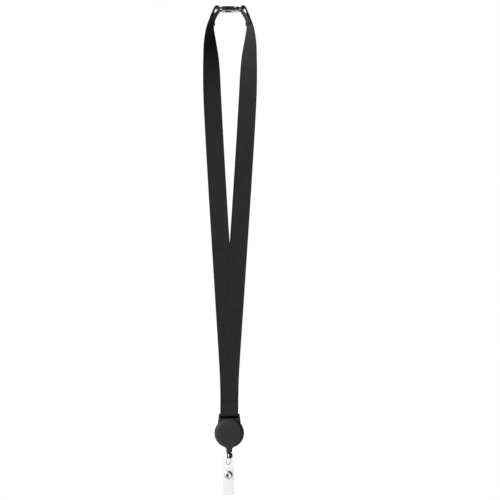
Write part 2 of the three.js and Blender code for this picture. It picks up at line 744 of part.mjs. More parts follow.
// The four pressed pieces of the snap, from front to back: the cap and socket that are
// riveted through the flap, and the stud and post that are riveted through the back.
function snapPieces() {
  const face = SNAP_DEPTH + STRAP_THICK / 2 + SNAP_GAP; // clear of either layer's outer face
  const inner = SNAP_DEPTH - STRAP_THICK / 2 - SNAP_GAP;
  const cap = turnedY([
    [0, -face - 1.4], [2.2, -face - 1.3], [3.8, -face - 0.9], [4.6, -face - 0.4],
    [4.75, -face], [RIVET_RADIUS, -face], [RIVET_RADIUS, -inner], [0, -inner],
  ], 32);
  const socket = turnedY([[2, -inner], [4.2, -inner], [4.2, -0.15], [2, -0.15], [2, -inner]], 28);
  const stud = turnedY([
    [0, -0.45], [1.2, -0.45], [1.6, -0.2], [1.6, 0.15], [3.8, 0.15], [3.8, inner], [0, inner],
  ], 28);
  const root = inner + GAP / 2;
  const post = turnedY([
    [0, root], [RIVET_RADIUS, root], [RIVET_RADIUS, face], [4.2, face],
    [4.2, face + 0.4], [3.4, face + 0.9], [0, face + 1],
  ], 28);
  return { cap, socket, stud, post };
}

function strapGroup() {
  const group = new THREE.Group();
  const { cos, sin } = Math;
  group.position.set(RING_OFFSET * cos(HOOK_TURN), RING_OFFSET * sin(HOOK_TURN), 0);
  group.add(part('badge_strap_back', strapBack(), vinyl()));
  group.add(part('badge_strap_flap', strapFlap(), vinyl()));
  for (const [name, geometry] of Object.entries(snapPieces())) {
    const mesh = part(`snap_${name}`, geometry, nickel());
    mesh.position.z = SNAP_Z;
    group.add(mesh);
  }
  return group;
}

const lanyard = new THREE.Group();
lanyard.add(ribbonGroup(), buckleGroup(), reelGroup(), hookGroup(), strapGroup());
export default lanyard;
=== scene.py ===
import math

import bpy
import numpy as np
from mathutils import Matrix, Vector


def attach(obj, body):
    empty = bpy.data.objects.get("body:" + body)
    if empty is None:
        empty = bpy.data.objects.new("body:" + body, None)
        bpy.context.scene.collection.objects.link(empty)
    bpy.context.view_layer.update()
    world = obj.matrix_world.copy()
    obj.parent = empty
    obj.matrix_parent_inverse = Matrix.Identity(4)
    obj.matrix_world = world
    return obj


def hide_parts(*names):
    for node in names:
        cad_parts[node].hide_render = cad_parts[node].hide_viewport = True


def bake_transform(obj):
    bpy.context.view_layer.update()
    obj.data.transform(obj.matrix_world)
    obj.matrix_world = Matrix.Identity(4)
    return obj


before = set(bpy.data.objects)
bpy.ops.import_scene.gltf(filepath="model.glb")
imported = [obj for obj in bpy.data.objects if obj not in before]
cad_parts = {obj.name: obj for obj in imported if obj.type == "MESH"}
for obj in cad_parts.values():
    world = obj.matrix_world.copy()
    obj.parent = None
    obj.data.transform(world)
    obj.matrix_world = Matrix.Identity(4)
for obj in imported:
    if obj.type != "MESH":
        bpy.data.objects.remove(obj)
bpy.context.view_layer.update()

MM = 0.001
UV_MIDDLE = 50  # mm along u of the middle of every swept strip
EDGE_ANGLE = math.radians(32)
EDGE_ROUND = 0.12  # mm taken off the moulded parts' sharp edges

# ---- Ribbon route, as in the CAD model (mm) ----
RIBBON_WIDTH = 20
PLY = 0.65  # distance of either ply from the middle of a sewn pair
LEG_STATIONS = [  # height, and distance of the leg's middle from the middle of the loop
    (-5, 18.9), (-14.3, 20.9), (-24, 22.1), (-35, 22.2), (-53.3, 21.1), (-98.3, 19.5),
    (-188, 14.4), (-318, 6.1), (-400, 0.9), (-425, 0.1), (-445, 0),
]
FOLD_TWIST = math.radians(11)
FOLD_TWIST_Z = (3, -9)
TWIST_LENGTH = 62  # height over which a leg takes most of its quarter turn
LEG_DEPTH = 0.85  # distance of a leg from the middle plane where the legs cross
FOLD_END_Z = -14.9
TAIL_END_Z = -14.1
UNDER_FOLD_Z = -30
FOLD_ROUTE = [  # x and z from the outer ply over the buckle bar to the inner ply
    (19.6, -5), (19, -2.7), (18.6, -0.4), (18, 1.7), (16.9, 3.9), (14.7, 5.3),
    (12.6, 4.6), (11.8, 2.7), (12.2, 0.8), (13.5, -0.9), (15.3, -2.9), (17, -5),
]
TAIL_TACK_Z = -12.6
SEAM_Z = -434.5
REEL_TACK_Z = -432.4
BRACKET_BAR = (-448.0, -446.4)
BRACKET_RUN = 2.0  # distance of the loop's sides from the middle plane beside the bar

# ---- Reel, hook and badge strap, as in the CAD model (mm) ----
REEL_Z = -467.8
CORD_RADIUS = 0.4
WINDING = (9.3, 11.8)  # inner and outer radius of the turns of cord
HOOK_TURN = math.radians(-45)
RING_OFFSET = -1
RING_TURN = math.radians(105)
RING_RADIUS, RING_Z = 4.5, -498.7
WIRE_RADIUS = 0.44
RING_GAP = math.radians(2.5)
STRAP_X = RING_OFFSET * math.cos(HOOK_TURN)
STRAP_Y = RING_OFFSET * math.sin(HOOK_TURN)
STRAP_WIDTH, STRAP_THICK = 12.7, 0.6
STRAP_TOP, FLAP_TOP, STRAP_BOTTOM = -497.2, -504.9, -537.0
TOP_CORNER, FLAP_CORNER, FOLD_CORNER = 2.0, 1.2, 2.2
SNAP_Z = -514.3
SNAP_DEPTH, BULGE_DEPTH = 1.2, 2.9  # distance of either layer from the middle, at two heights
HOLE_Z, HOLE_RADIUS = -504.6, 2.3
RIVET_RADIUS, RIVET_HOLE = 1.2, 1.6


# ---------------------------------------------------------------- mesh helpers
def new_object(name, vertices, faces, uvs=None):
    """A smooth-shaded mesh object from points in mm. uvs is one (u, v) per vertex."""
    mesh = bpy.data.meshes.new(name)
    mesh.from_pydata([Vector(v) * MM for v in vertices], [], faces)
    if uvs is not None:
        layer = mesh.uv_layers.new(name="UVMap")
        for loop in mesh.loops:
            layer.data[loop.index].uv = uvs[loop.vertex_index]
    mesh.validate()
    mesh.update()
    for polygon in mesh.polygons:
        polygon.use_smooth = True
    obj = bpy.data.objects.new(name, mesh)
    bpy.context.scene.collection.objects.link(obj)
    return obj


def smoothstep(start, end, value):
    t = min(max((value - start) / (end - start), 0.0), 1.0)
    return t * t * (3 - 2 * t)


def spline(points, per_span=14):
    """Points along a centripetal Catmull-Rom curve through the given ones."""
    p = [np.array(q, float) for q in points]
    p = [2 * p[0] - p[1]] + p + [2 * p[-1] - p[-2]]
    out = []
    for i in range(1, len(p) - 2):
        t = [0.0]
        for k in range(3):
            t.append(t[-1] + max(np.linalg.norm(p[i + k] - p[i + k - 1]), 1e-6) ** 0.5)
        for s in np.linspace(t[1], t[2], per_span, endpoint=False):
            a = [
                (t[k + 1] - s) / (t[k + 1] - t[k]) * p[i - 1 + k]
                + (s - t[k]) / (t[k + 1] - t[k]) * p[i + k]
                for k in range(3)
            ]
            b = [
                (t[k + 2] - s) / (t[k + 2] - t[k]) * a[k]
                + (s - t[k]) / (t[k + 2] - t[k]) * a[k + 1]
                for k in range(2)
            ]
            out.append((t[2] - s) / (t[2] - t[1]) * b[0] + (s - t[1]) / (t[2] - t[1]) * b[1])
    out.append(p[-2])
    return out


def resample(points, step):
    """The same line with points about step mm apart."""
    p = np.array(points, float)
    run = np.concatenate([[0], np.cumsum(np.linalg.norm(np.diff(p, axis=0), axis=1))])
    count = max(int(run[-1] / step), 2)
    at = np.linspace(0, run[-1], count + 1)
    return [np.array([np.interp(s, run, p[:, k]) for k in range(3)]) for s in at]


def tangents(points):
    p = np.array(points, float)
    d = np.gradient(p, axis=0)
    return [v / np.linalg.norm(v) for v in d]


def sweep(name, centres, across, section, widths=None):
    """A closed section carried along a line. section holds (across, through) in mm; across
    gives the width direction at each point, and widths an optional factor on the width."""
    run = 0.0
    vertices, uvs = [], []
    lines = tangents(centres)
    for i, (centre, side, line) in enumerate(zip(centres, across, lines)):
        side = side - line * np.dot(side, line)
        side = side / np.linalg.norm(side)
        normal = np.cross(line, side)
        if i:
            run += np.linalg.norm(centre - centres[i - 1])
        factor = 1.0 if widths is None else widths[i]
        for w, n in section:
            vertices.append(centre + side * w * factor + normal * n)
            uvs.append(((w + UV_MIDDLE) * MM, run * MM))
    size = len(section)
    faces = []
    for i in range(len(centres) - 1):
        for k in range(size):
            a, b = i * size + k, i * size + (k + 1) % size
            faces.append((a, b, b + size, a + size))
    faces.append(tuple(range(size - 1, -1, -1)))
    last = (len(centres) - 1) * size
    faces.append(tuple(range(last, last + size)))
    obj = new_object(name, vertices, faces, uvs)
    return obj, run * MM  # with the strip's length in metres


def flat_section(half_width, stations):
    """A closed flat section from (share of the half width, half thickness) across it."""
    upper = [(half_width * share, thick) for share, thick in stations]
    lower = [(across, -thick) for across, thick in reversed(upper)]
    return (lower + upper)[::-1]


# ---------------------------------------------------------------- ribbon route
def leg_spread(z):
    """Distance of the leg's middle from x = 0 at height z, on a smooth curve."""
    height = min(max(z, LEG_STATIONS[-1][0]), LEG_STATIONS[0][0])
    last = len(LEG_STATIONS) - 1
    i = 0
    while i < last - 1 and height < LEG_STATIONS[i + 1][0]:
        i += 1

    def slope(k):
        za, xa = LEG_STATIONS[max(k - 1, 0)]
        zb, xb = LEG_STATIONS[min(k + 1, last)]
        return (xb - xa) / (zb - za)

    (z0, x0), (z1, x1) = LEG_STATIONS[i], LEG_STATIONS[i + 1]
    h = z1 - z0
    t = (height - z0) / h
    start = (1 + 2 * t) * (1 - t) ** 2 * x0 + t * (1 - t) ** 2 * h * slope(i)
    end = t * t * (3 - 2 * t) * x1 + t * t * (t - 1) * h * slope(i + 1)
    return start + end


def leg_depth(z):
    """Distance of the leg from y = 0, which grows as the legs cross and ends at one ply."""
    crossing = LEG_DEPTH * smoothstep(-110, -225, z)
    return crossing - (LEG_DEPTH - PLY) * smoothstep(-380, -428, z)


def leg_point(z, side):
    return np.array([side * leg_spread(z), -side * leg_depth(z), z])


def twist(z):
    """The ribbon's turn from edge on at the buckle towards flat at the reel."""
    at_fold = FOLD_TWIST * smoothstep(*FOLD_TWIST_Z, z)
    below = max(FOLD_TWIST_Z[1] - z, 0)
    return at_fold + (math.pi / 2 - FOLD_TWIST) * math.tanh(below / TWIST_LENGTH)


def ribbon_across(centre, line, side):
    """The direction to the ribbon's near edge, which turns to the outer side of its leg."""
    if centre[2] < -420:
        return np.array([side, 0.0, 0.0])
    outward = np.array([-line[2], 0.0, line[0]])
    outward *= side * (1 if outward[0] >= 0 else -1)
    angle = twist(centre[2])
    return np.array([0, -math.cos(angle), 0]) + outward * math.sin(angle)


def ply_point(z, side, share):
    """The middle of a ply: share 1 is the outer one of a sewn pair, -1 the inner one."""
    centre = leg_point(z, side)
    line = leg_point(z - 0.5, side) - leg_point(z + 0.5, side)
    line /= np.linalg.norm(line)
    normal = np.cross(line, ribbon_across(centre, line, side))
    outward = 1 if normal[0] * side >= 0 else -1
    return centre + normal * outward * PLY * share


def buckle_fold(side):
    """From the tail's end up the inner ply, round the buckle bar and down the outer ply."""
    inner = [(TAIL_END_Z, -1.12), (-11, -1), (-8.6, -1)]  # height and share of the ply
    points = [ply_point(z, side, share) for z, share in inner]
    points += [np.array([side * x, 0, z]) for x, z in reversed(FOLD_ROUTE)]
    points += [ply_point(z, side, 1) for z in (-9, -12, FOLD_END_Z)]
    return spline(points)


def leg_line(side):
    """From under the fold, where the outer ply eases to the middle, down to the reel seam."""
    top = FOLD_END_Z - 1.5
    return [
        ply_point(z, side, smoothstep(UNDER_FOLD_Z, FOLD_END_Z, z))
        for z in np.arange(top, SEAM_Z, -1.5)
    ] + [leg_point(SEAM_Z, side)]


def reel_loop():
    """From the seam in front of the reel's bar, under it and up behind."""
    bottom, top = BRACKET_BAR
    half = [
        (PLY, SEAM_Z - 0.3), (PLY + 0.15, SEAM_Z - 4), (BRACKET_RUN, top + 0.6),
        (BRACKET_RUN, bottom + 0.2), (BRACKET_RUN - 0.75, bottom - 0.6),
    ]
    points = [np.array([0, -y, z]) for y, z in half]
    points.append(np.array([0, 0, bottom - 0.8]))
    points += [np.array([0, y, z]) for y, z in reversed(half)]
    return spline(points)


# ---------------------------------------------------------------- materials
def material(name, colour, roughness, metallic=0.0, **sockets):
    """A Principled material. Returns it with its shader and its node tree."""
    made = bpy.data.materials.new(name)
    made.use_nodes = True
    shader = made.node_tree.nodes["Principled BSDF"]
    shader.inputs["Base Color"].default_value = (*colour, 1)
    shader.inputs["Roughness"].default_value = roughness
    shader.inputs["Metallic"].default_value = metallic
    for label, value in sockets.items():
        shader.inputs[label.replace("_", " ")].default_value = value
    made.diffuse_color = (*colour, 1)
    return made, shader, made.node_tree


def add(tree, kind, **settings):
    node = tree.nodes.new(kind)
    for name, value in settings.items():
        if name in node.inputs:
            node.inputs[name].default_value = value
        else:
            setattr(node, name, value)
    return node


def maths(tree, operation, a, b=None):
    node = add(tree, "ShaderNodeMath", operation=operation)
    for socket, value in zip(node.inputs, (a, b)):
        if value is None:
            continue
        if isinstance(value, (int, float)):
            socket.default_value = value
        else:
            tree.links.new(value, socket)
    return node.outputs[0]


def ramp(tree, factor, low, high, start=0.0, end=1.0):
    """A mix between two colours as factor goes from start to end."""
    node = add(tree, "ShaderNodeValToRGB")
    node.color_ramp.elements[0].position = start
    node.color_ramp.elements[0].color = (*low, 1)
    node.color_ramp.elements[1].position = end
    node.color_ramp.elements[1].color = (*high, 1)
    tree.links.new(factor, node.inputs[0])
    return node.outputs[0]


def bump(tree, shader, height, distance, strength=1.0):
    node = add(tree, "ShaderNodeBump")
    node.inputs["Strength"].default_value = strength
    node.inputs["Distance"].default_value = distance
    tree.links.new(height, node.inputs["Height"])
    tree.links.new(node.outputs[0], shader.inputs["Normal"])


def noise(tree, scale, detail=3.0):
    place = add(tree, "ShaderNodeTexCoord")
    node = add(tree, "ShaderNodeTexNoise")
    node.inputs["Scale"].default_value = scale
    node.inputs["Detail"].default_value = detail
    tree.links.new(place.outputs["Object"], node.inputs["Vector"])
    return node.outputs["Fac"]


RIB_PITCH, WARP_PITCH = 0.00062, 0.00048  # metres between ribs and between warp threads
RIBBON_DARK = (0.0165, 0.0165, 0.017)
RIBBON_LIGHT = (0.0215, 0.0215, 0.022)


def woven_ribbon():
    """Plain-woven polyester: fine cross ribs over warp threads, with darker, denser edges."""
    made, shader, tree = material(
        "woven_ribbon", (0.014, 0.014, 0.015), 0.85,
        Specular_IOR_Level=0.25, Sheen_Weight=0.1, Sheen_Roughness=0.45,
    )
    uv = add(tree, "ShaderNodeUVMap", uv_map="UVMap")
    parts = add(tree, "ShaderNodeSeparateXYZ")
    tree.links.new(uv.outputs[0], parts.inputs[0])
    u, v = parts.outputs[0], parts.outputs[1]
    rib = maths(tree, "SINE", maths(tree, "MULTIPLY", v, 2 * math.pi / RIB_PITCH))
    warp = maths(tree, "SINE", maths(tree, "MULTIPLY", u, 2 * math.pi / WARP_PITCH))
    ribs = maths(tree, "MULTIPLY", rib, 0.6)
    crossings = maths(tree, "MULTIPLY", maths(tree, "MULTIPLY", rib, warp), 0.5)
    height = maths(tree, "ADD", ribs, crossings)
    off_middle = maths(tree, "ABSOLUTE", maths(tree, "SUBTRACT", u, UV_MIDDLE * MM))
    share = maths(tree, "MULTIPLY", off_middle, 1 / (RIBBON_WIDTH / 2 * MM))
    edge = ramp(tree, share, (1, 1, 1), (0.5, 0.5, 0.5), 0.9, 0.96)
    cloud = ramp(tree, noise(tree, 180), RIBBON_DARK, RIBBON_LIGHT, 0.3, 0.7)
    shade = add(tree, "ShaderNodeMix", data_type="RGBA", blend_type="MULTIPLY")
    shade.inputs[0].default_value = 1.0
    tree.links.new(cloud, shade.inputs[6])
    tree.links.new(edge, shade.inputs[7])
    tree.links.new(shade.outputs[2], shader.inputs["Base Color"])
    bump(tree, shader, height, 0.00006, 0.6)
    return made


def thread():
    made, shader, tree = material(
        "sewing_thread", (0.008, 0.008, 0.008), 0.7, Specular_IOR_Level=0.3, Sheen_Weight=0.15
    )
    strands = maths(tree, "SINE", maths(tree, "MULTIPLY", noise(tree, 1500, 1), 18))
    bump(tree, shader, strands, 0.00003, 0.5)
    return made


def moulded_plastic(name, colour, roughness, grain, level=0.4):
    """Black moulded plastic with a fine spark texture and slightly uneven gloss."""
    made, shader, tree = material(name, colour, roughness, Specular_IOR_Level=level)
    patches = noise(tree, 60, 2)
    lighter = tuple(c * 1.35 for c in colour)
    tree.links.new(ramp(tree, patches, colour, lighter, 0.35, 0.7), shader.inputs["Base Color"])
    gloss = maths(tree, "ADD", maths(tree, "MULTIPLY", patches, 0.12), roughness - 0.06)
    tree.links.new(gloss, shader.inputs["Roughness"])
    bump(tree, shader, noise(tree, 3500, 2), 0.00004, grain)
    return made


def nickel_plate():
    made, shader, tree = material("nickel_plate", (0.85, 0.845, 0.83), 0.26, 1.0)
    patches = noise(tree, 250, 3)
    gloss = maths(tree, "ADD", maths(tree, "MULTIPLY", patches, 0.14), 0.22)
    tree.links.new(gloss, shader.inputs["Roughness"])
    bump(tree, shader, noise(tree, 2200, 2), 0.00002, 0.3)
    return made


def clear_vinyl():
    """Thin clear vinyl, a little milky, with a soft gloss."""
    made, shader, tree = material(
        "clear_vinyl", (0.8, 0.805, 0.81), 0.32, Alpha=0.1, IOR=1.46, Specular_IOR_Level=0.25
    )
    cloud = ramp(tree, noise(tree, 40, 1), (0.79, 0.795, 0.8), (0.82, 0.825, 0.83))
    tree.links.new(cloud, shader.inputs["Base Color"])
    bump(tree, shader, noise(tree, 90, 1), 0.0001, 0.05)
    return made


def braided_cord():
    made, shader, tree = material(
        "braided_cord", (0.01, 0.01, 0.01), 0.8, Specular_IOR_Level=0.3, Sheen_Weight=0.2
    )
    place = add(tree, "ShaderNodeTexCoord")
    wave = add(tree, "ShaderNodeTexWave", bands_direction="DIAGONAL")
    wave.inputs["Scale"].default_value = 700
    tree.links.new(place.outputs["Object"], wave.inputs["Vector"])
    bump(tree, shader, wave.outputs["Fac"], 0.00008, 0.8)
    return made


def natural_nylon():
    made, shader, tree = material("natural_nylon", (0.62, 0.6, 0.54), 0.5)
    bump(tree, shader, noise(tree, 1800, 2), 0.00003, 0.4)
    return made


def spring_steel():
    made, shader, tree = material("spring_steel", (0.4, 0.42, 0.46), 0.3, 1.0)
    streaks = noise(tree, 900, 4)
    gloss = maths(tree, "ADD", maths(tree, "MULTIPLY", streaks, 0.2), 0.2)
    tree.links.new(gloss, shader.inputs["Roughness"])
    return made


# Name, colour, roughness, depth of grain and specular level.
# Painted shade: the first material below is near black and dull, standing in for the shade that
# falls deep in the ribbon's slot.
SLOT_SHADE_PAINT = moulded_plastic("painted_slot_shade", (0.0015, 0.0015, 0.0015), 0.9, 0.3, 0.05)
RIBBON = woven_ribbon()
THREAD = thread()
CASE = moulded_plastic("case_plastic", (0.027, 0.027, 0.0275), 0.6, 0.5, 0.3)
BUCKLE = moulded_plastic("buckle_plastic", (0.017, 0.017, 0.0175), 0.38, 0.25, 0.45)
HOOK = moulded_plastic("hook_plastic", (0.003, 0.003, 0.003), 0.28, 0.2, 0.25)
NICKEL = nickel_plate()
VINYL = clear_vinyl()
CORD = braided_cord()
NYLON = natural_nylon()
STEEL = spring_steel()


def wear(obj, made):
    """Gives a piece its material, through its material slots if it has any."""
    if not obj.material_slots:
        obj.data.materials.append(made)
    for holder in obj.material_slots:
        holder.material = made


# ---------------------------------------------------------------- ribbon pieces
RIBBON_SECTION = flat_section(RIBBON_WIDTH / 2, [
    (-1, 0.12), (-0.992, 0.3), (-0.975, 0.42), (-0.945, 0.46), (-0.91, 0.42),
    (-0.6, 0.4), (-0.2, 0.4), (0.2, 0.4), (0.6, 0.4),
    (0.91, 0.42), (0.945, 0.46), (0.975, 0.42), (0.992, 0.3), (1, 0.12),
])


def ribbon_piece(name, points, side, step=1.2):
    points = resample(points, step)
    across = [ribbon_across(p, t, side) for p, t in zip(points, tangents(points))]
    return sweep(name, points, across, RIBBON_SECTION)


def neck_ribbons():
    """Two strips, each from its buckle fold down. The right one runs on under the reel's bar."""
    left_points = buckle_fold(-1) + leg_line(-1)
    left, left_length = ribbon_piece("neck_ribbon_left", left_points, -1)
    right_points = buckle_fold(1) + leg_line(1) + reel_loop()[2:]
    right, right_length = ribbon_piece("neck_ribbon_right", right_points, 1)
    for ribbon in (left, right):
        wear(ribbon, RIBBON)
    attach(left, "root")
    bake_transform(right)
    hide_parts("left_strap", "left_buckle_loop")
    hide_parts("right_strap", "right_buckle_loop", "reel_strap_loop")


neck_ribbons()


# ---------------------------------------------------------------- solid pieces
def tube_mesh(points, radius, sides=8):
    """Vertices and faces of a closed tube along a line of points, all in mm."""
    lines = tangents(points)
    across = np.cross(lines[0], [0.31, 0.84, 0.45])
    vertices, faces = [], []
    for point, line in zip(points, lines):
        across = across - line * np.dot(across, line)
        across = across / np.linalg.norm(across)
        other = np.cross(line, across)
        for k in range(sides):
            a = 2 * math.pi * k / sides
            vertices.append(point + radius * (across * math.cos(a) + other * math.sin(a)))
    for i in range(len(points) - 1):
        for k in range(sides):
            a, b = i * sides + k, i * sides + (k + 1) % sides
            faces.append((a, b, b + sides, a + sides))
    last = (len(points) - 1) * sides
    faces.append(tuple(range(sides - 1, -1, -1)))
    faces.append(tuple(range(last, last + sides)))
    return vertices, faces


def tubes(name, routes, radius, sides=8):
    """One object made of a tube along each route."""
    vertices, faces = [], []
    for route in routes:
        more, sheets = tube_mesh(np.array(route, float), radius, sides)
        start = len(vertices)
        vertices += more
        faces += [tuple(start + i for i in face) for face in sheets]
    return new_object(name, vertices, faces)


def turned(name, profile, centre, steps=96):
    """A closed solid turned about a line along Y through centre, from (radius, y) points.
    The first and the last point are taken onto that line."""
    rim = profile[1:-1]
    count = len(rim)
    vertices, faces = [], []
    for i in range(steps):
        a = 2 * math.pi * i / steps
        for radius, y in rim:
            x, z = radius * math.cos(a), radius * math.sin(a)
            vertices.append((centre[0] + x, centre[1] + y, centre[2] + z))
    first, last = len(vertices), len(vertices) + 1
    for _, y in (profile[0], profile[-1]):
        vertices.append((centre[0], centre[1] + y, centre[2]))
    for i in range(steps):
        here, after = i * count, (i + 1) % steps * count
        faces.append((first, after, here))
        for k in range(count - 1):
            faces.append((here + k, after + k, after + k + 1, here + k + 1))
        faces.append((here + count - 1, after + count - 1, last))
    return new_object(name, vertices, faces)


def rounded_profile(points, per_span=5):
    """A turned profile with its corners eased."""
    line = spline([(r, y, 0) for r, y in points], per_span)
    return [(max(p[0], 0.0), p[1]) for p in line]


def evaluated(obj):
    """Applies the object's modifiers."""
    graph = bpy.context.evaluated_depsgraph_get()
    mesh = bpy.data.meshes.new_from_object(obj.evaluated_get(graph))
    obj.modifiers.clear()
    obj.data = mesh
    return obj


def drill(obj, x, z, radius, depths=(-12, 0, 12), sides=40):
    """A round hole along Y, through whatever lies between the first and the last depth."""
    route = np.array([(x, y, z) for y in depths], float)
    vertices, faces = tube_mesh(route, radius, sides)
    tool = new_object("drill", vertices, faces)
    bpy.context.view_layer.update()
    modifier = obj.modifiers.new("hole", "BOOLEAN")
    modifier.operation = "DIFFERENCE"
    modifier.solver = "EXACT"
    modifier.object = tool
    evaluated(obj)
    bpy.data.objects.remove(tool)


# ---------------------------------------------------------------- sewing
STITCH_ROWS = (-0.45, 0.45)
STITCH_PITCH, STITCH_LEAN = 1.15, 0.28
STITCH_HALF = STITCH_PITCH * 0.42
THREAD_RADIUS = 0.17
STITCH_REACH = PLY + 0.5  # distance of the threads from the middle of the sewn pair
TAIL_ROW_LENGTH, LOOP_ROW_LENGTH = 14, 17.5


def stitch_row(name, centre, across, normal, line, length):
    """Two zigzag rows of thread on the front and the back of a sewn pair of plies."""
    routes = []
    count = int(length / STITCH_PITCH)
    for row in STITCH_ROWS:
        for i in range(count):
            at = (i + 0.5 - count / 2) * STITCH_PITCH
            lean = STITCH_LEAN if i % 2 else -STITCH_LEAN
            a = centre + across * (at - STITCH_HALF) + line * (row - lean)
            b = centre + across * (at + STITCH_HALF) + line * (row + lean)
            middle = (a + b) / 2
            for face in (-1, 1):
                up = normal * face
                sunk, flush, proud = (STITCH_REACH + rise for rise in (-0.5, -0.1, 0.12))
                routes.append([
                    a + up * sunk, a + up * flush, middle + up * proud,
                    b + up * flush, b + up * sunk,
                ])
    return tubes(name, routes, THREAD_RADIUS, 6)


def stitching():
    """The sewing of both tails, and that of the legs above the reel."""
    for side, node, body in ((-1, "left_stitching", "root"), (1, "right_stitching", "plug_half")):
        centre = leg_point(TAIL_TACK_Z, side)
        line = leg_point(TAIL_TACK_Z - 0.5, side) - leg_point(TAIL_TACK_Z + 0.5, side)
        line /= np.linalg.norm(line)
        across = ribbon_across(centre, line, side)
        across = across - line * np.dot(across, line)
        across /= np.linalg.norm(across)
        normal = np.cross(line, across)
        row = stitch_row(f"tail_{node}", centre, across, normal, line, TAIL_ROW_LENGTH)
        wear(row, THREAD)
        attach(row, body)
        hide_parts(node)
    centre = np.array([0.0, 0.0, REEL_TACK_Z])
    x, y, z = np.eye(3)
    row = stitch_row("loop_stitching", centre, x, y, -z, LOOP_ROW_LENGTH)
    wear(row, THREAD)
    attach(row, "root")
    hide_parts("reel_stitching")


stitching()


# ---------------------------------------------------------------- cords
REEL_AXIS = np.array([0, 0, REEL_Z])
PULLED_ENDS = (-15.7, -18.6)  # height of the pulled cord's ends from the reel's axis
LAYERS, LAYER_TURNS, LAYER_HALF_WIDTH = 3, 4.6, 1.5
TURN_STEPS = 40
CORD_DEPTH = 0.4  # the winding's middle along y


def pulled_cord():
    """The short length in the snout, which stretches as the cord is pulled."""
    top, bottom = PULLED_ENDS
    route = [REEL_AXIS + (0, 0, z) for z in np.linspace(top, bottom, 40)]
    pull = tubes("cord_pulled", [route], CORD_RADIUS, 12)
    wear(pull, CORD)
    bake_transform(pull)
    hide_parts("pull_cord")


def wound_cord():
    """The turns on the spool, in layers that run back and forth across it."""
    routes = []
    steps = int(LAYER_TURNS * TURN_STEPS)
    for layer in range(LAYERS):
        radius = WINDING[0] + CORD_RADIUS + layer * 2 * CORD_RADIUS
        rise = 1 if layer % 2 else -1
        route = []
        for i in range(steps + 1):
            turn = 2 * math.pi * LAYER_TURNS * i / steps
            y = CORD_DEPTH + rise * LAYER_HALF_WIDTH * (2 * i / steps - 1)
            route.append(REEL_AXIS + (radius * math.cos(turn), y, radius * math.sin(turn)))
        routes.append(route)
    wound = tubes("cord_turns", routes, CORD_RADIUS - 0.02, 6)
    wear(wound, CORD)
    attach(wound, "spool")
    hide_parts("wound_cord")


def cord_lead():
    """The length from the outside of the winding down to the snout."""
    radius = WINDING[1] + 0.3 + CORD_RADIUS
    points = []
    for degrees in (0, -20, -40, -60):
        a = math.radians(degrees)
        points.append((radius * math.cos(a), CORD_DEPTH, radius * math.sin(a)))
    points += [(2.2, 0.2, -12.8), (0.4, 0, -13.7), (0, 0, -15.4)]
    lead = tubes("cord_inside", [[REEL_AXIS + p for p in spline(points, 8)]], CORD_RADIUS, 12)
    wear(lead, CORD)
    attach(lead, "root")
    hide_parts("cord_lead")


pulled_cord()
wound_cord()
cord_lead()


# ---------------------------------------------------------------- reel
def reel_face():
    """The cover's dished face: a flat disc, a shallow step and a rounded shoulder."""
    profile = rounded_profile([  # radius and y, front side first
        (0.02, -5.62), (4, -5.62), (8, -5.61), (11.6, -5.6), (12.15, -5.5), (12.5, -5.58),
        (13.6, -5.38), (14.9, -4.75), (15.75, -3.9), (16.2, -3.0), (16.36, -2.3),
        (16.36, -0.9), (16.25, -0.7), (15.9, -0.9), (15.3, -3.2), (13.6, -4.6), (12, -4.9),
        (6, -4.95), (0.02, -4.95),
    ], 4)
    face = turned("reel_face", profile, (0, 0, REEL_Z), 160)
    wear(face, CASE)
    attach(face, "root")


reel_face()


# ---------------------------------------------------------------- ring and snap
def wire_ring():
    """The split ring that joins the hook to the badge strap."""
    plane = HOOK_TURN + RING_TURN
    out = np.array([math.cos(plane), math.sin(plane), 0])
    centre = np.array([STRAP_X, STRAP_Y, RING_Z])
    route = []
    for a in np.linspace(math.pi / 2 + RING_GAP, 2.5 * math.pi - RING_GAP, 120):
        route.append(centre + RING_RADIUS * (out * math.cos(a) + np.array([0, 0, math.sin(a)])))
    ring = tubes("split_ring", [route], WIRE_RADIUS, 16)
    wear(ring, NICKEL)
    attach(ring, "ring")
    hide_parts("wire_ring")


def snap():
    """The domed cap in front and the rolled rivet head behind, each with its stem."""
    centre = (STRAP_X, STRAP_Y, SNAP_Z)
    clear = 0.2
    face = SNAP_DEPTH + STRAP_THICK / 2 + clear
    inner = SNAP_DEPTH - STRAP_THICK / 2 - clear
    cap = turned("snap_cap_domed", rounded_profile([
        (0.02, -face - 0.75), (0.9, -face - 0.8), (1.7, -face - 1.05), (2.3, -face - 1.35),
        (2.9, -face - 1.4), (3.6, -face - 1.1), (4.05, -face - 0.65), (4.3, -face - 0.55),
        (4.6, -face - 0.6), (4.78, -face - 0.35), (4.7, -face - 0.05), (4.2, -face + 0.02),
        (RIVET_RADIUS + 0.3, -face + 0.02), (RIVET_RADIUS, -face + 0.2),
        (RIVET_RADIUS, -inner), (0.02, -inner),
    ], 5), centre, 96)
    post = turned("snap_post_domed", rounded_profile([
        (0.02, inner + 0.15), (RIVET_RADIUS, inner + 0.15), (RIVET_RADIUS, face - 0.1),
        (RIVET_RADIUS + 0.3, face), (4.1, face), (4.25, face + 0.25), (4.0, face + 0.55),
        (3.3, face + 0.85), (2.6, face + 0.95), (2.1, face + 0.8), (1.6, face + 0.62),
        (0.8, face + 0.6), (0.02, face + 0.6),
    ], 5), centre, 96)
    for piece, body, node in ((cap, "flap", "snap_cap"), (post, "badge_strap", "snap_post")):
        wear(piece, NICKEL)
        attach(piece, body)
        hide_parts(node)


wire_ring()
snap()


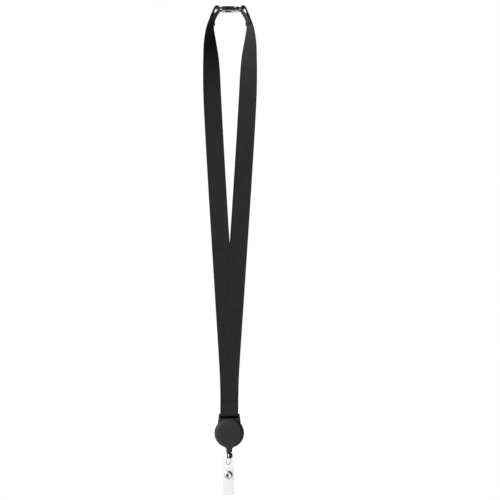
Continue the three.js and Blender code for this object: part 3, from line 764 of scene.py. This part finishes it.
# ---------------------------------------------------------------- badge strap
def strap_line():
    """The middle of the folded strip, from the back layer's top to the flap's free end."""
    fold = STRAP_BOTTOM + STRAP_THICK / 2 + BULGE_DEPTH
    half = [
        (SNAP_DEPTH, SNAP_Z + 2.5), (SNAP_DEPTH, SNAP_Z - 2.5), (SNAP_DEPTH, SNAP_Z - 5.2),
        (BULGE_DEPTH - 0.2, SNAP_Z - 8.5), (BULGE_DEPTH, fold + 4), (BULGE_DEPTH, fold),
    ]
    half += [
        (BULGE_DEPTH * math.cos(math.radians(a)), fold - BULGE_DEPTH * math.sin(math.radians(a)))
        for a in (22.5, 45, 67.5, 82)
    ]
    back = [(0, STRAP_TOP), (0, STRAP_TOP - 3), (SNAP_DEPTH, SNAP_Z + 5.4)] + half
    front = [
        (SNAP_DEPTH + 0.3, FLAP_TOP), (SNAP_DEPTH + 0.3, FLAP_TOP - 3), (SNAP_DEPTH, SNAP_Z + 5.4),
    ] + half
    points = [(STRAP_X, STRAP_Y + y, z) for y, z in back]
    points += [(STRAP_X, STRAP_Y - y, z) for y, z in reversed(front)]
    return spline(points, 24)


def corner_widths(points, radius_start, radius_end):
    """Width factors that round the corners at both ends of the strip and beside its fold."""
    run = np.concatenate([[0], np.cumsum(np.linalg.norm(np.diff(points, axis=0), axis=1))])
    half = STRAP_WIDTH / 2
    factors = []
    for s, point in zip(run, points):
        width = half
        up = point[2] - STRAP_BOTTOM - STRAP_THICK / 2
        ends = (s, radius_start), (run[-1] - s, radius_end), (max(up, 0) + 0.5, FOLD_CORNER)
        for along, radius in ends:
            if along < radius:
                width = min(width, half - radius + math.sqrt(radius**2 - (radius - along) ** 2))
        factors.append(width / half)
    return factors


def vinyl_strap():
    """One strip of vinyl, folded up at the bottom, with the snap's holes and the ring's hole."""
    points = np.array(resample(strap_line(), 0.3))
    section = flat_section(STRAP_WIDTH / 2, [
        (-1, 0.05), (-0.985, 0.15), (-0.96, 0.23), (-0.92, 0.27), (-0.5, 0.27), (0, 0.27),
        (0.5, 0.27), (0.92, 0.27), (0.96, 0.23), (0.985, 0.15), (1, 0.05),
    ])
    across = [np.array([1.0, 0, 0])] * len(points)
    widths = corner_widths(points, TOP_CORNER, FLAP_CORNER)
    strap, _ = sweep("vinyl_strap", points, across, section, widths)
    drill(strap, STRAP_X, SNAP_Z, RIVET_HOLE)
    back_layer_only = (STRAP_Y - 0.6, STRAP_Y, STRAP_Y + 8)
    drill(strap, STRAP_X, HOLE_Z, HOLE_RADIUS, back_layer_only, 48)
    wear(strap, VINYL)
    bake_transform(strap)
    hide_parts("badge_strap_back", "badge_strap_flap")


vinyl_strap()


# ---------------------------------------------------------------- stage
FLOOR_RADIUS, FLOOR_Z, FLOOR_SIDES = 2800, -1250, 180  # mm
WORLD_LEFT = (1.0, 1.0, 1.0)
WORLD_RIGHT = (0.012, 0.012, 0.012)
CAMERA_DISTANCE = 2.0
FRAME_SIZE = 0.555  # metres across the image at the object
AIM = (0.02258, 0.0, -0.2647)
ROLL = math.radians(-0.127)


def floor():
    angles = [2 * math.pi * i / FLOOR_SIDES for i in range(FLOOR_SIDES)]
    rim = [(FLOOR_RADIUS * math.cos(a), FLOOR_RADIUS * math.sin(a), FLOOR_Z) for a in angles]
    plate = new_object("floor", rim, [tuple(range(FLOOR_SIDES))])
    look = material(
        "pale_floor", (0.8, 0.8, 0.8), 0.8, Emission_Color=(1, 1, 1, 1), Emission_Strength=0.06
    )[0]
    plate.data.materials.append(look)


def area_light(name, place, target, size, power):
    light = bpy.data.lights.new(name, "AREA")
    light.shape = "DISK"
    light.size = size
    light.energy = power
    obj = bpy.data.objects.new(name, light)
    obj.location = place
    obj.rotation_euler = (Vector(target) - Vector(place)).to_track_quat("-Z", "Y").to_euler()
    bpy.context.scene.collection.objects.link(obj)


def studio_world():
    """A plain white backdrop. As light it is bright on the left and dim on the right."""
    world = bpy.data.worlds.new("studio")
    bpy.context.scene.world = world
    world.use_nodes = True
    tree = world.node_tree
    background = tree.nodes["Background"]
    place = add(tree, "ShaderNodeTexCoord")
    parts = add(tree, "ShaderNodeSeparateXYZ")
    tree.links.new(place.outputs["Generated"], parts.inputs[0])
    leftward = maths(tree, "ADD", maths(tree, "MULTIPLY", parts.outputs[0], 0.5), 0.5)
    surround = ramp(tree, leftward, WORLD_LEFT, WORLD_RIGHT, 0.12, 0.58)
    rays = add(tree, "ShaderNodeLightPath")
    seen = add(tree, "ShaderNodeMix", data_type="RGBA")
    tree.links.new(rays.outputs["Is Camera Ray"], seen.inputs[0])
    tree.links.new(surround, seen.inputs[6])
    seen.inputs[7].default_value = (1, 1, 1, 1)
    tree.links.new(seen.outputs[2], background.inputs["Color"])
    background.inputs["Strength"].default_value = 1.0


def camera():
    """Straight on from the front, with the frame's width set by the lens."""
    data = bpy.data.cameras.new("camera")
    data.sensor_width = 36
    data.lens = data.sensor_width * CAMERA_DISTANCE / FRAME_SIZE
    data.clip_end = 50
    obj = bpy.data.objects.new("camera", data)
    obj.location = (AIM[0], -CAMERA_DISTANCE, AIM[2])
    obj.rotation_euler = (math.pi / 2, ROLL, 0)
    bpy.context.scene.collection.objects.link(obj)
    bpy.context.scene.camera = obj


floor()
studio_world()
area_light("key", place=(-1.8, -1.45, 0.6), target=(0, 0, -0.25), size=0.9, power=46)
area_light("back", place=(0.1, 2.0, -0.2), target=(0, 0, -0.3), size=1.2, power=9)
camera()
bpy.context.scene.view_settings.view_transform = "Standard"


# ---------------------------------------------------------------- parts kept from the CAD model
PAINTED_SHADE_BOX = ((-10.6, 0.3, -454), (10.6, 3.4, -447.2))  # corners of the box in the slot whose wall gets painted shade, in mm
NODE_LOOKS = {
    "front_cover": (CASE, "case_plastic"), "rear_housing": (CASE, "case_plastic"),
    "buckle_socket": (BUCKLE, "buckle_plastic"), "buckle_plug": (BUCKLE, "buckle_plastic"),
    "cord_spool": (NYLON, "spool_plastic"), "spool_lid": (NYLON, "spool_plastic"),
    "spiral_spring": (STEEL, "spring_steel"),
    "cord_ferrule": (NICKEL, "nickel_plate"),
    "snap_hook": (HOOK, "hook_plastic"), "hook_gate": (HOOK, "hook_plastic"),
    "snap_socket": (NICKEL, "nickel_plate"), "snap_stud": (NICKEL, "nickel_plate"),
}


# The CAD meshes themselves stay as they were loaded: all of this is done by modifiers.
def shading_group(name):
    """A geometry node group that drops the loaded normals and shades every face smooth.
    Returns it with the last geometry output, and the group's own output node."""
    group = bpy.data.node_groups.new(name, "GeometryNodeTree")
    for way in ("INPUT", "OUTPUT"):
        group.interface.new_socket("Geometry", in_out=way, socket_type="NodeSocketGeometry")
    start = add(group, "NodeGroupInput")
    end = add(group, "NodeGroupOutput")
    shade = add(group, "GeometryNodeSetMeshNormal", mode="SHARPNESS")
    shade.inputs["Remove Custom"].default_value = True
    shade.inputs["Edge Sharpness"].default_value = False
    shade.inputs["Face Sharpness"].default_value = False
    group.links.new(start.outputs[0], shade.inputs["Mesh"])
    group.links.new(shade.outputs[0], end.inputs[0])
    return group, shade.outputs[0], end


def smooth_only():
    return shading_group("smooth_faces")[0]


def smooth_with_painted_shade():
    """Smooth faces, and painted shade: a near-black, dull material on the wall deep in the
    ribbon's slot, standing in for the shade there.
    """
    group, shaded, end = shading_group("smooth_faces_and_painted_shade")
    low, high = (np.array(corner) * MM for corner in PAINTED_SHADE_BOX)
    place = add(group, "GeometryNodeInputPosition")
    parts = add(group, "ShaderNodeSeparateXYZ")
    group.links.new(place.outputs[0], parts.inputs[0])
    outside = []
    for axis in range(3):
        middle, half = (low[axis] + high[axis]) / 2, (high[axis] - low[axis]) / 2
        off = maths(group, "SUBTRACT", parts.outputs[axis], float(middle))
        outside.append(maths(group, "SUBTRACT", maths(group, "ABSOLUTE", off), float(half)))
    furthest = maths(group, "MAXIMUM", maths(group, "MAXIMUM", *outside[:2]), outside[2])
    finish = add(group, "GeometryNodeSetMaterial")
    finish.inputs["Material"].default_value = SLOT_SHADE_PAINT
    group.links.new(maths(group, "LESS_THAN", furthest, 0.0), finish.inputs["Selection"])
    group.links.new(shaded, finish.inputs["Geometry"])
    group.links.new(finish.outputs[0], end.inputs[0])
    return group


def ease_edges(node, group):
    """Rounds a moulded part's sharp edges a little, and smooths its faceted curves."""
    smooth = node.modifiers.new("smooth", "NODES")
    smooth.node_group = group
    weld = node.modifiers.new("weld", "WELD")
    weld.merge_threshold = 1e-6  # metres: only corners at the same place
    bevel = node.modifiers.new("bevel", "BEVEL")
    bevel.limit_method = "ANGLE"
    bevel.angle_limit = EDGE_ANGLE
    bevel.width = EDGE_ROUND * MM
    bevel.segments = 2
    bevel.harden_normals = True


SMOOTH = smooth_only()
for node_name, (look, slot_name) in NODE_LOOKS.items():
    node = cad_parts[node_name]
    wear(node, look)
    # The wall deep in the ribbon's slot gets the painted-shade material, for the shade that falls
    # there.
    if node_name == "rear_housing":
        node.data.materials.append(SLOT_SHADE_PAINT)
        ease_edges(node, smooth_with_painted_shade())
    else:
        ease_edges(node, SMOOTH)
